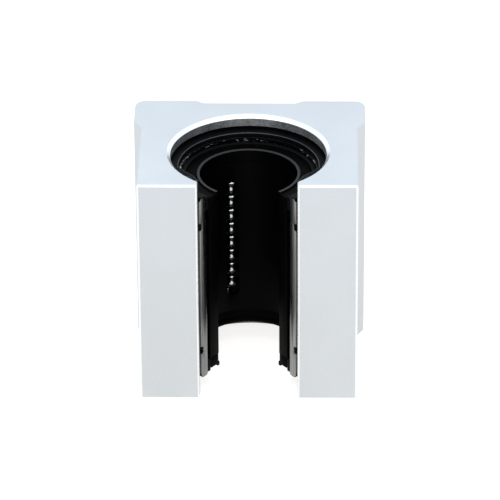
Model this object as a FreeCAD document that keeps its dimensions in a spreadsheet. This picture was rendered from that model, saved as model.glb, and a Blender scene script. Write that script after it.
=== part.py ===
import FreeCAD, Part
import Sketcher
import itertools
import math
import os

# Open linear bearing block for a 20 mm shaft that a rail supports from below.
#
# The housing is an aluminium block with a bore along Z that is open towards -Y, where the rail's neck
# passes, and a tapped mounting face at +Y. An open ball bearing sits in the bore: a hardened sleeve, a
# moulded cage with four oval ball circuits, and a seal at each end. Two retaining rings hold it endways
# and a locking screw keeps it from turning.
#
# Frame: the origin is on the shaft's axis, half way along the block. +Z runs along the shaft, +Y points
# out of the mounting face and +X across it. Lengths are in millimetres and angles in degrees.

SIZES = [
    # housing
    ("block_length", 50.0, "housing, along the shaft"),
    ("block_width", 48.0, "housing, across the mounting face"),
    ("axis_to_face", 23.0, "shaft axis to mounting face"),
    ("axis_to_feet", 15.0, "shaft axis to the feet beside the slot"),
    ("body_width", 44.8, "housing below the wings"),
    ("wing_depth", 9.6, "flat side of a wing, from the mounting face"),
    ("wing_slope", 2.9, "height of the slanted step under a wing"),
    ("slot_width", 20.2, "slot for the rail's neck"),
    ("recess_width", 19.1, "floor of the relief between the two mounting pads"),
    ("recess_depth", 1.0, "depth of that relief"),
    ("recess_run", 1.4, "width of its sloping side"),
    ("wing_rounding", 2.2, "radius of the wings' outer corners"),
    ("foot_chamfer", 0.4, "chamfer of the feet's upright edges"),
    ("edge_break", 0.4, "chamfer round both end faces"),
    ("bore_chamfer", 0.7, "chamfer at both mouths of the bore"),
    # holes in the housing
    ("hole_pitch_across", 35.0, "mounting holes, along X"),
    ("hole_pitch_along", 35.0, "mounting holes, along Z"),
    ("tap_diameter", 5.0, "core of an M6 thread"),
    ("tap_depth", 12.0, "full depth of a mounting hole"),
    # bearing shell
    ("bearing_diameter", 32.0, "outside of the sleeve"),
    ("bearing_length", 42.0, "length of the sleeve"),
    ("seat_clearance", 0.02, "radial, sleeve in bore"),
    ("opening_half_angle", 37.5, "half the angle that the bearing leaves open"),
    ("sleeve_bore", 27.8, "inside of the sleeve beside the raceways"),
    ("sleeve_chamfer", 0.5, "outer edges of the sleeve"),
    ("raceway_half_angle", 7.0, "half the width of a raceway"),
    ("ring_slot_span", 30.5, "over the two outer grooves of the sleeve"),
    ("ring_slot_width", 1.6, "width of such a groove"),
    ("ring_slot_depth", 0.75, "depth of such a groove"),
    # balls and cage
    ("shaft_diameter", 20.0, "shaft that the bearing takes"),
    ("ball_diameter", 3.175, "bearing ball"),
    ("ball_gap", 0.015, "mean gap between balls"),
    ("balls_per_circuit", 21, "balls in one circuit"),
    ("circuit_angle", 72.0, "from one circuit to the next"),
    ("row_half_angle", 16.0, "circuit centre to its loaded row"),
    ("return_lift", 0.67, "how much further out the return row runs"),
    ("track_clearance", 0.06, "ball in its track"),
    ("raceway_clearance", 0.01, "ball under its raceway"),
    ("cage_bore", 20.6, "inside of the cage"),
    ("cage_floor", 0.32, "skin under the return row"),
    ("cage_clearance", 0.8, "cage to the inside of the sleeve"),
    ("window_width", 2.64, "window that shows the loaded row"),
    ("window_overrun", 2.3, "window past the straight row, where the balls climb"),
    # bearing ends
    ("end_recess", 0.5, "seal lip and side ring below the end of the sleeve"),
    ("seal_length", 3.0, "seal and side ring, along the shaft"),
    ("lip_thickness", 0.7, "seal lip, radial"),
    ("lip_height", 0.5, "seal lip above the seal's face"),
    ("side_ring_width", 0.9, "side ring, radial"),
    ("insert_clearance", 0.05, "side ring in the sleeve, and seal in the side ring"),
    # retaining rings
    ("ring_thickness", 1.2, "retaining ring, along the shaft"),
    ("ring_bore", 28.8, "inside of the retaining ring"),
    ("ring_clearance", 0.1, "retaining ring to the bottom of its groove"),
    ("groove_depth", 0.85, "retaining ring groove in the bore"),
    ("groove_width", 2.0, "retaining ring groove, along the shaft"),
    ("lug_bore", 24.2, "across the inner edges of the lugs"),
    ("lug_end_angle", 57.0, "middle of the slot to the end of a lug"),
    ("lug_angle", 10.0, "width of a lug's inner edge"),
    ("lug_blend_angle", 19.0, "where the lug runs out into the ring"),
    ("lug_hole_angle", 7.5, "end of a lug to its pliers hole"),
    ("lug_hole_diameter", 2.0, "pliers hole"),
    ("lug_hole_radius", 14.0, "shaft axis to the pliers hole"),
    # locking screw
    ("screw_diameter", 5.0, "locking screw"),
    ("screw_length", 6.0, "locking screw"),
    ("screw_clearance", 0.05, "radial, screw in its thread"),
    ("screw_point", 1.2, "cone at the point of the screw"),
    ("socket_width", 2.5, "hexagon socket, across flats"),
    ("socket_depth", 2.6, "hexagon socket"),
    ("dimple_depth", 0.8, "seat of the screw's point in the sleeve"),
    ("dimple_diameter", 4.4, "that seat's width"),
]

CIRCUITS = 4
LIFT_ANGLE = 45.0
SOCKET_SIDES = 6
ROUND = 360.0
QUARTER_TURN = 90.0
HALF_TURN = 180.0
TINY = 1e-9
NEAR = 1e-4


class Size:
    """A number together with the spreadsheet expression that gives it."""

    def __init__(self, value, text):
        self.value = float(value)
        self.text = text

    def __add__(self, other):
        other = size_of(other)
        return Size(self.value + other.value, f"({self.text} + {other.text})")

    def __sub__(self, other):
        other = size_of(other)
        return Size(self.value - other.value, f"({self.text} - {other.text})")

    def __mul__(self, other):
        other = size_of(other)
        return Size(self.value * other.value, f"({self.text} * {other.text})")

    def __truediv__(self, other):
        other = size_of(other)
        return Size(self.value / other.value, f"({self.text} / {other.text})")

    def __neg__(self):
        return self * -1


def size_of(number):
    """A plain number as a Size; a Size stays as it is."""
    if isinstance(number, Size):
        return number
    return Size(number, f"({number})")


def cosine(angle):
    return Size(math.cos(math.radians(angle.value)), f"cos({angle.text})")


def sine(angle):
    return Size(math.sin(math.radians(angle.value)), f"sin({angle.text})")


def polar(radius, angle):
    """The corner at a radius and an angle from the sketch's X axis."""
    return radius * cosine(angle), radius * sine(angle)


class Dimensions:
    """The driving sizes, and the ones that follow from them."""

    def __init__(self, document):
        sheet = document.addObject("Spreadsheet::Sheet", "Sizes")
        for row, (name, value, meaning) in enumerate(SIZES, start=1):
            sheet.set(f"A{row}", str(value))
            sheet.setAlias(f"A{row}", name)
            sheet.set(f"B{row}", meaning)
        document.recompute()
        for name, _, _ in SIZES:
            setattr(self, name, Size(sheet.get(name), f"Sizes.{name}"))
        self.follow()

    def follow(self):
        """Work out what mates from the same driving sizes."""
        self.bearing_radius = self.bearing_diameter / 2
        self.bore_radius = self.bearing_radius + self.seat_clearance
        self.sleeve_inner = self.sleeve_bore / 2
        self.shaft_radius = self.shaft_diameter / 2
        self.ball_radius = self.ball_diameter / 2
        self.loaded_radius = self.shaft_radius + self.ball_radius
        self.return_radius = self.loaded_radius + self.return_lift
        self.raceway_radius = self.shaft_radius + self.ball_diameter + self.raceway_clearance
        mean_radius = (self.loaded_radius + self.return_radius) / 2
        full_turn = Size(math.pi, "pi") * 2
        self.turn_radius = mean_radius * self.row_half_angle * full_turn / ROUND
        loop = (self.ball_diameter + self.ball_gap) * self.balls_per_circuit
        self.row_half_length = (loop - full_turn * self.turn_radius) / 4
        self.wrap_angle = size_of(ROUND) - self.opening_half_angle * 2
        self.groove_offset = (
            self.block_length - self.bearing_length - self.ring_thickness - self.groove_width
        ) / 2
        self.bearing_end = self.bearing_length / 2
        self.bearing_z = (
            self.groove_offset + self.ring_thickness + self.bearing_end - self.block_length / 2
        )
        self.cage_end = self.bearing_end - self.end_recess - self.seal_length
        self.side_ring_outer = self.sleeve_inner - self.insert_clearance
        self.first_circuit = self.circuit_angle * (CIRCUITS - 1) / 2
        self.first_row = self.first_circuit - self.row_half_angle


# Helpers for sketches and features


def add_sketch(body, name, plane, turn=None, lift=None):
    """Start a sketch on one of the body's origin planes.

    turn swings the plane about Z, and lift moves it along its own normal.
    """
    sketch = body.newObject("Sketcher::SketchObject", name)
    support = origin_feature(body, plane)
    sketch.AttachmentSupport = [(support, "")]
    sketch.MapMode = "FlatFace"
    turned = FreeCAD.Rotation()
    if turn is not None:
        turned = FreeCAD.Rotation(FreeCAD.Vector(0, 1, 0), turn.value)
    height = 0.0 if lift is None else lift.value
    sketch.AttachmentOffset = FreeCAD.Placement(FreeCAD.Vector(0, 0, height), turned)
    if turn is not None:
        sketch.setExpression("AttachmentOffset.Rotation.Angle", turn.text)
    if lift is not None:
        sketch.setExpression("AttachmentOffset.Base.z", lift.text)
    return sketch


def origin_feature(body, role):
    return next(item for item in body.Origin.OriginFeatures if item.Role == role)


def hold(sketch, geometry, point, corner):
    """Fix a point of the sketch at a corner, by its distances from the origin."""
    for kind, size, axis in (("DistanceX", corner[0], -2), ("DistanceY", corner[1], -1)):
        if abs(size.value) < TINY:
            sketch.addConstraint(Sketcher.Constraint("PointOnObject", geometry, point, axis))
            continue
        index = sketch.addConstraint(
            Sketcher.Constraint(kind, -1, 1, geometry, point, size.value)
        )
        sketch.setExpression(f"Constraints[{index}]", size.text)


def vector(corner):
    return FreeCAD.Vector(corner[0].value, corner[1].value, 0)


def draw_outline(sketch, corners):
    """Close a polygon through the corners."""
    first = sketch.GeometryCount
    count = len(corners)
    for index, corner in enumerate(corners):
        after = corners[(index + 1) % count]
        sketch.addGeometry(Part.LineSegment(vector(corner), vector(after)), False)
    for index, corner in enumerate(corners):
        after = first + (index + 1) % count
        sketch.addConstraint(Sketcher.Constraint("Coincident", first + index, 2, after, 1))
        hold(sketch, first + index, 1, corner)


def draw_circle(sketch, centre, radius):
    circle = Part.Circle(vector(centre), FreeCAD.Vector(0, 0, 1), radius.value)
    geometry = sketch.addGeometry(circle, False)
    hold(sketch, geometry, 3, centre)
    index = sketch.addConstraint(Sketcher.Constraint("Radius", geometry, radius.value))
    sketch.setExpression(f"Constraints[{index}]", radius.text)


def draw_stadium(sketch, half_width, half_length):
    """Draw two upright lines joined by half circles, centred on the origin."""
    none = size_of(0)
    first = sketch.GeometryCount
    sides = (
        ((half_width, -half_length), (half_width, half_length)),
        ((-half_width, half_length), (-half_width, -half_length)),
    )
    for start, end in sides:
        sketch.addGeometry(Part.LineSegment(vector(start), vector(end)), False)
    for centre, start in (((none, half_length), 0.0), ((none, -half_length), math.pi)):
        circle = Part.Circle(vector(centre), FreeCAD.Vector(0, 0, 1), half_width.value)
        arc = Part.ArcOfCircle(circle, start, start + math.pi)
        geometry = sketch.addGeometry(arc, False)
        hold(sketch, geometry, 3, centre)
    right, left, top, bottom = range(first, first + 4)
    for line, line_end, arc, arc_end in (
        (right, 2, top, 1),
        (left, 1, top, 2),
        (left, 2, bottom, 1),
        (right, 1, bottom, 2),
    ):
        sketch.addConstraint(Sketcher.Constraint("Tangent", line, line_end, arc, arc_end))
    index = sketch.addConstraint(Sketcher.Constraint("Radius", top, half_width.value))
    sketch.setExpression(f"Constraints[{index}]", half_width.text)


def add_feature(body, kind, name, sketch, **sizes):
    """Add a sketched feature and bind its sizes to the spreadsheet."""
    feature = body.newObject(f"PartDesign::{kind}", name)
    feature.Profile = sketch
    for prop, value in sizes.items():
        if isinstance(value, Size):
            setattr(feature, prop, value.value)
            feature.setExpression(prop, value.text)
        else:
            setattr(feature, prop, value)
    sketch.Visibility = False
    body.Tip = feature
    return feature


def revolve(body, name, corners, angle, turn=None, kind="Revolution"):
    """Turn a polygon of radius and height corners about Z, evenly to both sides of its plane."""
    sketch = add_sketch(body, f"{name}_profile", "XZ_Plane", turn=turn)
    draw_outline(sketch, corners)
    axis = (origin_feature(body, "Z_Axis"), [""])
    return add_feature(body, kind, name, sketch, ReferenceAxis=axis, Midplane=True, Angle=angle)


def repeat_round(body, feature, sizes):
    """Repeat a feature at the pitch of the ball circuits."""
    pattern = body.newObject("PartDesign::PolarPattern", f"{feature.Name}_pattern")
    pattern.Originals = [feature]
    pattern.Axis = (origin_feature(body, "Z_Axis"), [""])
    pattern.Mode = "Spacing"
    pattern.Reversed = True
    pattern.Occurrences = CIRCUITS
    pattern.Offset = sizes.circuit_angle.value
    pattern.setExpression("Offset", sizes.circuit_angle.text)
    body.Tip = pattern


def rectangle(low_radius, high_radius, low, high):
    return [(low_radius, low), (high_radius, low), (high_radius, high), (low_radius, high)]


def add_body(document, label):
    body = document.addObject("PartDesign::Body", label)
    body.Label = label
    return body


def place_in_bearing(body, sizes, upright=True):
    """Set a bearing piece in the bore, its own X axis towards the mounting face.

    A piece that isn't upright is turned end for end, for the lower end of the bearing.
    """
    turned = FreeCAD.Rotation(FreeCAD.Vector(0, 0, 1), QUARTER_TURN)
    if not upright:
        turned = turned.multiply(FreeCAD.Rotation(FreeCAD.Vector(1, 0, 0), HALF_TURN))
    body.Placement = FreeCAD.Placement(FreeCAD.Vector(0, 0, sizes.bearing_z.value), turned)
    body.setExpression("Placement.Base.z", sizes.bearing_z.text)


def edges_where(shape, wanted):
    """Names of the edges whose middle the test accepts."""
    names = []
    for index, edge in enumerate(shape.Edges, start=1):
        middle = edge.valueAt((edge.FirstParameter + edge.LastParameter) / 2)
        if wanted(edge, middle):
            names.append(f"Edge{index}")
    return names


def dress(body, name, base, edges, kind, prop, size):
    """Chamfer or round the named edges of a feature."""
    feature = body.newObject(f"PartDesign::{kind}", name)
    feature.Base = (base, edges)
    setattr(feature, prop, size.value)
    feature.setExpression(prop, size.text)
    body.Tip = feature
    return feature


# Housing


def housing_outline(sizes):
    """Corners of the housing's section, anticlockwise from the slot's right wall."""
    slot = sizes.slot_width / 2
    body = sizes.body_width / 2
    wing = sizes.block_width / 2
    face = sizes.axis_to_face
    recess = sizes.recess_width / 2
    slot_root = -sizes.bore_radius / 2
    right = [
        (slot, slot_root),
        (slot, -sizes.axis_to_feet),
        (body, -sizes.axis_to_feet),
        (body, face - sizes.wing_depth - sizes.wing_slope),
        (wing, face - sizes.wing_depth),
        (wing, face),
        (recess + sizes.recess_run, face),
        (recess, face - sizes.recess_depth),
    ]
    left = [(-x, y) for x, y in reversed(right)]
    return right + left


def upright_at(x, y):
    """A test for upright edges at a corner of the section and at its mirror image."""

    def test(edge, middle):
        upright = abs(edge.tangentAt(edge.FirstParameter).z) > 1 - TINY
        return upright and math.hypot(abs(middle.x) - x.value, middle.y - y.value) < NEAR

    return test


def dress_uprights(document, body, base, sizes):
    """Chamfer the upright corners of the feet and round those of the wings."""
    corners = housing_outline(sizes)
    dressings = (
        ("foot_chamfers", corners[1:3], "Chamfer", "Size", sizes.foot_chamfer),
        ("wing_roundings", corners[5:6], "Fillet", "Radius", sizes.wing_rounding),
    )
    for name, places, kind, prop, size in dressings:
        document.recompute()
        edges = []
        for x, y in places:
            edges += edges_where(base.Shape, upright_at(x, y))
        base = dress(body, name, base, edges, kind, prop, size)
    return base


def chamfer_ends(document, body, base, sizes):
    """Break the outer edges of both end faces, all but those of the slot."""
    document.recompute()
    end = sizes.block_length.value / 2
    slot = sizes.slot_width.value / 2

    def at_an_end(edge, middle):
        on_end_face = abs(abs(middle.z) - end) < NEAR and edge.BoundBox.ZLength < NEAR
        in_slot = abs(middle.x) < slot + NEAR and middle.y < 0
        return on_end_face and not in_slot

    edges = edges_where(base.Shape, at_an_end)
    return dress(body, "end_chamfers", base, edges, "Chamfer", "Size", sizes.edge_break)


def cut_bore(body, sizes):
    """Cut the bore, its chamfered mouths and the two retaining ring grooves."""
    end = sizes.block_length / 2
    bore = sizes.bore_radius
    mouth = sizes.bore_chamfer
    none = size_of(0)
    profile = [
        (none, -end),
        (bore + mouth, -end),
        (bore, -end + mouth),
        (bore, end - mouth),
        (bore + mouth, end),
        (none, end),
    ]
    revolve(body, "bore", profile, size_of(ROUND), kind="Groove")
    groove = bore + sizes.groove_depth
    outer = end - sizes.groove_offset
    inner = outer - sizes.groove_width
    for name, low, high in (("upper_groove", inner, outer), ("lower_groove", -outer, -inner)):
        profile = rectangle(bore / 2, groove, low, high)
        revolve(body, name, profile, size_of(ROUND), kind="Groove")


def drill_mounting_holes(document, body, sizes):
    """Four blind tapped holes in the mounting pads."""
    sketch = add_sketch(body, "mounting_hole_centres", "XZ_Plane", lift=-sizes.axis_to_face)
    across = sizes.hole_pitch_across / 2
    along = sizes.hole_pitch_along / 2
    for x in (-across, across):
        for z in (-along, along):
            draw_circle(sketch, (x, z), sizes.tap_diameter / 2)
    document.recompute()
    add_feature(
        body,
        "Hole",
        "mounting_holes",
        sketch,
        Reversed=True,
        DepthType="Dimension",
        DrillPoint="Flat",
        Diameter=sizes.tap_diameter,
        Depth=sizes.tap_depth,
    )


def drill_screw_hole(body, sizes):
    """The tapped hole of the locking screw, from the side of the housing into the bore."""
    side = sizes.body_width / 2
    none = size_of(0)
    sketch = add_sketch(body, "screw_hole_centre", "YZ_Plane", lift=side)
    draw_circle(sketch, (none, none), sizes.screw_diameter / 2)
    add_feature(body, "Pocket", "screw_hole", sketch, Length=side - sizes.bore_radius / 2)


def make_housing(document, sizes):
    body = add_body(document, "housing")
    sketch = add_sketch(body, "section", "XY_Plane")
    draw_outline(sketch, housing_outline(sizes))
    pad = add_feature(
        body, "Pad", "block", sketch, SideType="Symmetric", Length=sizes.block_length
    )
    dressed = dress_uprights(document, body, pad, sizes)
    chamfer_ends(document, body, dressed, sizes)
    cut_bore(body, sizes)
    drill_mounting_holes(document, body, sizes)
    drill_screw_hole(body, sizes)
    return body


# Bearing


def make_sleeve(document, sizes):
    """The hardened open sleeve, with two outer grooves and a raceway over each loaded row."""
    body = add_body(document, "bearing_sleeve")
    inner = sizes.sleeve_inner
    outer = sizes.bearing_radius
    end = sizes.bearing_end
    edge = sizes.sleeve_chamfer
    slot_floor = outer - sizes.ring_slot_depth
    slot_high = sizes.ring_slot_span / 2
    slot_low = slot_high - sizes.ring_slot_width
    upper = [
        (outer, slot_low),
        (slot_floor, slot_low),
        (slot_floor, slot_high),
        (outer, slot_high),
        (outer, end - edge),
        (outer - edge, end),
        (inner, end),
    ]
    lower = [(radius, -height) for radius, height in reversed(upper)]
    revolve(body, "shell", upper + lower, sizes.wrap_angle)
    half = sizes.row_half_length
    profile = rectangle(sizes.raceway_radius, inner + edge, -half, half)
    raceway = revolve(
        body, "raceway", profile, sizes.raceway_half_angle * 2, turn=sizes.first_row
    )
    repeat_round(body, raceway, sizes)
    sketch = add_sketch(body, "dimple_centre", "XZ_Plane", lift=outer - sizes.dimple_depth)
    draw_circle(sketch, (size_of(0), -sizes.bearing_z), sizes.dimple_diameter / 2)
    add_feature(body, "Pocket", "dimple", sketch, Reversed=True, Length=sizes.dimple_depth * 2)
    place_in_bearing(body, sizes)
    return body


def make_cage(document, sizes):
    """The moulded cage: four oval tracks open to the sleeve, each with a window on its loaded row."""
    body = add_body(document, "ball_cage")
    inner = sizes.cage_bore / 2
    floor = inner + sizes.cage_floor
    outer = sizes.sleeve_inner - sizes.cage_clearance
    end = sizes.cage_end
    room = sizes.ball_radius + sizes.track_clearance
    tilt = sine(sizes.row_half_angle)
    revolve(body, "track_wall", rectangle(floor, outer, -end, end), sizes.wrap_angle)
    sketch = add_sketch(body, "track_outline", "YZ_Plane", turn=sizes.first_circuit)
    draw_stadium(sketch, sizes.return_radius * tilt + room, sizes.row_half_length)
    draw_stadium(sketch, sizes.loaded_radius * tilt - room, sizes.row_half_length)
    track = add_feature(
        body, "Pocket", "track", sketch, Reversed=True, Length=sizes.bearing_radius
    )
    repeat_round(body, track, sizes)
    revolve(body, "inner_skin", rectangle(inner, floor, -end, end), sizes.wrap_angle)
    sketch = add_sketch(body, "window_outline", "YZ_Plane", turn=sizes.first_row)
    half = sizes.window_width / 2
    reach = sizes.row_half_length + sizes.window_overrun
    draw_outline(sketch, rectangle(-half, half, -reach, reach))
    window = add_feature(
        body, "Pocket", "window", sketch, Reversed=True, Length=floor + sizes.cage_floor
    )
    repeat_round(body, window, sizes)
    place_in_bearing(body, sizes)
    return body


def make_seal(document, sizes, label, upright):
    """A rubber end seal whose lip runs on the shaft."""
    body = add_body(document, label)
    low = sizes.cage_end
    top = sizes.bearing_end - sizes.end_recess
    face = top - sizes.lip_height
    lip = sizes.shaft_radius
    outer = sizes.side_ring_outer - sizes.side_ring_width - sizes.insert_clearance
    profile = [
        (lip, low),
        (outer, low),
        (outer, face),
        (lip + sizes.lip_thickness, face),
        (lip + sizes.lip_thickness, top),
        (lip, top),
    ]
    revolve(body, "seal", profile, sizes.wrap_angle)
    place_in_bearing(body, sizes, upright)
    return body


def make_side_ring(document, sizes, label, upright):
    """The steel ring that holds the seal and the cage in the end of the sleeve."""
    body = add_body(document, label)
    outer = sizes.side_ring_outer
    top = sizes.bearing_end - sizes.end_recess
    profile = rectangle(outer - sizes.side_ring_width, outer, sizes.cage_end, top)
    revolve(body, "ring", profile, sizes.wrap_angle)
    place_in_bearing(body, sizes, upright)
    return body


def make_retaining_ring(document, sizes, label, upright):
    """An open retaining ring with two lugs, each with a hole for the pliers."""
    body = add_body(document, label)
    outer = sizes.bore_radius + sizes.groove_depth - sizes.ring_clearance
    inner = sizes.ring_bore / 2
    lug = sizes.lug_bore / 2
    end = size_of(HALF_TURN) - sizes.lug_end_angle
    lug_side = end - sizes.lug_angle
    blend = lug_side - sizes.lug_blend_angle
    sketch = add_sketch(body, "outline", "XY_Plane", lift=sizes.bearing_end)
    corners = [polar(lug, end), polar(outer, end), polar(outer, -end), polar(lug, -end)]
    corners += [polar(lug, -lug_side), polar(inner, -blend)]
    corners += [polar(inner, blend), polar(lug, lug_side)]
    arcs = {1: outer, 5: inner}
    centre = FreeCAD.Vector(0, 0, 0)
    up = FreeCAD.Vector(0, 0, 1)
    limits = {1: math.radians(end.value), 5: math.radians(blend.value)}
    count = len(corners)
    for index, corner in enumerate(corners):
        if index in arcs:
            circle = Part.Circle(centre, up, arcs[index].value)
            arc = Part.ArcOfCircle(circle, -limits[index], limits[index])
            sketch.addGeometry(arc, False)
        else:
            after = corners[(index + 1) % count]
            sketch.addGeometry(Part.LineSegment(vector(corner), vector(after)), False)
    for index in arcs:
        hold(sketch, index, 3, (size_of(0), size_of(0)))
    starts = [2 if index == 1 else 1 for index in range(count)]
    ends = [3 - start for start in starts]
    for index, corner in enumerate(corners):
        after = (index + 1) % count
        joined = Sketcher.Constraint("Coincident", index, ends[index], after, starts[after])
        sketch.addConstraint(joined)
        if index not in arcs:
            hold(sketch, index, starts[index], corner)
    add_feature(body, "Pad", "ring", sketch, Length=sizes.ring_thickness)
    sketch = add_sketch(body, "pliers_holes", "XY_Plane", lift=sizes.bearing_end)
    for side in (1, -1):
        place = polar(sizes.lug_hole_radius, (end - sizes.lug_hole_angle) * side)
        draw_circle(sketch, place, sizes.lug_hole_diameter / 2)
    length = sizes.ring_thickness * 2
    add_feature(body, "Pocket", "holes", sketch, Reversed=True, Length=length)
    place_in_bearing(body, sizes, upright)
    return body


# Balls


def loop_point(sizes, way):
    """Where a ball's centre lies after going a way round the loop from the foot of the loaded row.

    Gives the angle from the circuit's middle, the distance from the shaft axis and the height.
    """
    row = 2 * sizes.row_half_length.value
    turn = math.pi * sizes.turn_radius.value
    half = sizes.row_half_length.value
    angle = sizes.row_half_angle.value
    if way < row:
        return -angle, sizes.loaded_radius.value, way - half
    way -= row
    if way < turn:
        swing = way / sizes.turn_radius.value
        height = half + sizes.turn_radius.value * math.sin(swing)
        return -angle * math.cos(swing), ramp_radius(sizes, swing), height
    way -= turn
    if way < row:
        return angle, sizes.return_radius.value, half - way
    swing = (way - row) / sizes.turn_radius.value
    height = -half - sizes.turn_radius.value * math.sin(swing)
    return angle * math.cos(swing), ramp_radius(sizes, math.pi - swing), height


def ramp_radius(sizes, swing):
    """How far out a ball runs in a turn, swing being its angle from the loaded row."""
    share = min(1.0, swing / math.radians(LIFT_ANGLE))
    smooth = share * share * (3 - 2 * share)
    return sizes.loaded_radius.value + smooth * sizes.return_lift.value


def make_ball(radius):
    """A ball as an icosahedron, with every corner on the ball's surface."""
    golden = (1 + math.sqrt(5)) / 2
    size = radius / math.hypot(1, golden)
    corners = []
    for short in (-size, size):
        for long in (-size * golden, size * golden):
            corners.append(FreeCAD.Vector(0, short, long))
            corners.append(FreeCAD.Vector(short, long, 0))
            corners.append(FreeCAD.Vector(long, 0, short))
    faces = []
    for trio in itertools.combinations(corners, 3):
        gaps = [one.distanceToPoint(other) for one, other in itertools.combinations(trio, 2)]
        if max(gaps) < size * golden * 2 - TINY:
            faces.append(Part.Face(Part.makePolygon([*trio, trio[0]])))
    return Part.Solid(Part.Shell(faces))


def make_balls(document, sizes, number):
    """The balls of one circuit. Every other circuit is half a ball out of step."""
    middle = sizes.first_circuit.value - number * sizes.circuit_angle.value
    pitch = sizes.ball_diameter.value + sizes.ball_gap.value
    step = 0.25 if number % 2 else 0.75
    ball = make_ball(sizes.ball_radius.value)
    balls = []
    for place in range(int(sizes.balls_per_circuit.value)):
        offset, radius, height = loop_point(sizes, (place + step) * pitch)
        around = math.radians(middle + offset)
        balls.append(ball.copy())
        balls[-1].translate(
            FreeCAD.Vector(radius * math.cos(around), radius * math.sin(around), height)
        )
    group = document.addObject("Part::Feature", f"balls_circuit_{number + 1}")
    group.Label = f"balls_circuit_{number + 1}"
    group.Shape = Part.makeCompound(balls)
    place_in_bearing(group, sizes)
    return group


# Locking screw


def make_screw(document, sizes):
    """The socket screw that enters the sleeve's dimple from the side of the housing."""
    body = add_body(document, "locking_screw")
    radius = sizes.screw_diameter / 2 - sizes.screw_clearance
    point = sizes.screw_point
    length = sizes.screw_length
    none = size_of(0)
    profile = [
        (none, none),
        (radius - point, none),
        (radius, point),
        (radius, length),
        (none, length),
    ]
    revolve(body, "shank", profile, size_of(ROUND))
    step = ROUND / SOCKET_SIDES
    corner = sizes.socket_width / 2 / cosine(size_of(step / 2))
    sketch = add_sketch(body, "socket_outline", "XY_Plane", lift=length)
    corners = [polar(corner, size_of(step * side)) for side in range(SOCKET_SIDES)]
    draw_outline(sketch, corners)
    add_feature(body, "Pocket", "socket", sketch, Length=sizes.socket_depth)
    tip = sizes.bearing_radius - sizes.dimple_depth + sizes.screw_clearance
    turned = FreeCAD.Rotation(FreeCAD.Vector(0, 1, 0), QUARTER_TURN)
    body.Placement = FreeCAD.Placement(FreeCAD.Vector(tip.value, 0, 0), turned)
    body.setExpression("Placement.Base.x", tip.text)
    return body


def make_pieces(document, sizes):
    pieces = [make_housing(document, sizes), make_sleeve(document, sizes)]
    pieces.append(make_cage(document, sizes))
    for number in range(CIRCUITS):
        pieces.append(make_balls(document, sizes, number))
    for side, upright in (("upper", True), ("lower", False)):
        pieces.append(make_seal(document, sizes, f"end_seal_{side}", upright))
        pieces.append(make_side_ring(document, sizes, f"side_ring_{side}", upright))
        pieces.append(make_retaining_ring(document, sizes, f"retaining_ring_{side}", upright))
    pieces.append(make_screw(document, sizes))
    return pieces


def check(document, pieces):
    """Stop if any object failed or any piece isn't a sound solid."""
    for item in document.Objects:
        if "Invalid" in item.State or "Error" in item.State:
            raise RuntimeError(f"{item.Label} failed: {item.State}")
    for piece in pieces:
        if piece.Shape.isNull() or not piece.Shape.isValid():
            raise RuntimeError(f"{piece.Label} has no valid shape")


def main():
    document = FreeCAD.newDocument("linear_bearing_block")
    sizes = Dimensions(document)
    pieces = make_pieces(document, sizes)
    document.recompute()
    check(document, pieces)
    os.makedirs("parts", exist_ok=True)
    for piece in pieces:
        piece.Shape.exportStep(os.path.join("parts", f"{piece.Label}.step"))
        count = len(piece.Shape.Solids)
        print(f"{piece.Label}: {count} solids, {piece.Shape.Volume:.1f} mm3")


main()
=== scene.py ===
"""Looks of an open linear bearing block that stands on its end face on a pale floor.

Each class below is one sub-assembly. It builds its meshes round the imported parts, in metres and in the
same frame: +Z along the shaft, +Y out of the mounting face, and the rail's slot open towards -Y.
The block's sizes are written in millimetres and degrees, and the studio's places in metres.
"""

import logging
import math
from dataclasses import dataclass
from enum import Enum, IntEnum
from typing import Callable, Iterable, Sequence

import bpy
from mathutils import Matrix, Vector


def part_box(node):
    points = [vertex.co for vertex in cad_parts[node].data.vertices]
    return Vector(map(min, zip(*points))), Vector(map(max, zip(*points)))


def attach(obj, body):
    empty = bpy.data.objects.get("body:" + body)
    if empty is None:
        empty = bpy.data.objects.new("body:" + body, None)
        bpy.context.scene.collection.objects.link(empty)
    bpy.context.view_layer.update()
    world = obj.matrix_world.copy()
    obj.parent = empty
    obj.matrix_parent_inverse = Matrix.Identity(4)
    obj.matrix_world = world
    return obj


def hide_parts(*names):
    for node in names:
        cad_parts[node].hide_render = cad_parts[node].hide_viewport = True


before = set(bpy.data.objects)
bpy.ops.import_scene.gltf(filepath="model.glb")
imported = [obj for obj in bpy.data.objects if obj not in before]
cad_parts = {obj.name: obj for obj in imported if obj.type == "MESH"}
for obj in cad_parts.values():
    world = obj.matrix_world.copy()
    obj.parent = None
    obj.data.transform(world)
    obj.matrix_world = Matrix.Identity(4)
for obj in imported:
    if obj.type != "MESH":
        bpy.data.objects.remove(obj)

log = logging.getLogger("bearing_block")

MM = 0.001
ROOT = "root"
FULL_TURN = 2 * math.pi

# Points closer than this, in metres, are one point
MERGE = 1e-7

# The gap in the bearing for the rail, in radians, and the arc that is left of each ring
OPENING_HALF_ANGLE = math.radians(37.5)
FIRST_AZIMUTH = OPENING_HALF_ANGLE - math.pi / 2
SWEEP = FULL_TURN - 2 * OPENING_HALF_ANGLE

# Height of the bearing's middle in the housing, and how far a cutter stands out of what it cuts
BEARING_CENTRE = -0.4
OVERCUT = 1.0

# Steps in a turn of a small round hole or screw, and of a thread
ROUND_STEPS = 32
THREAD_STEPS = 24

# Half the widths of a thread's foot and crest, as shares of its pitch
THREAD_FOOT = 0.46
THREAD_CREST = 0.06

# A face lies across the shaft, and isn't a wall along it, where its normal has more Z than this
FLAT = 0.5

# A face counts as part of a surface when its middle is this near to it, in millimetres
NEAR = 0.1

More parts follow.
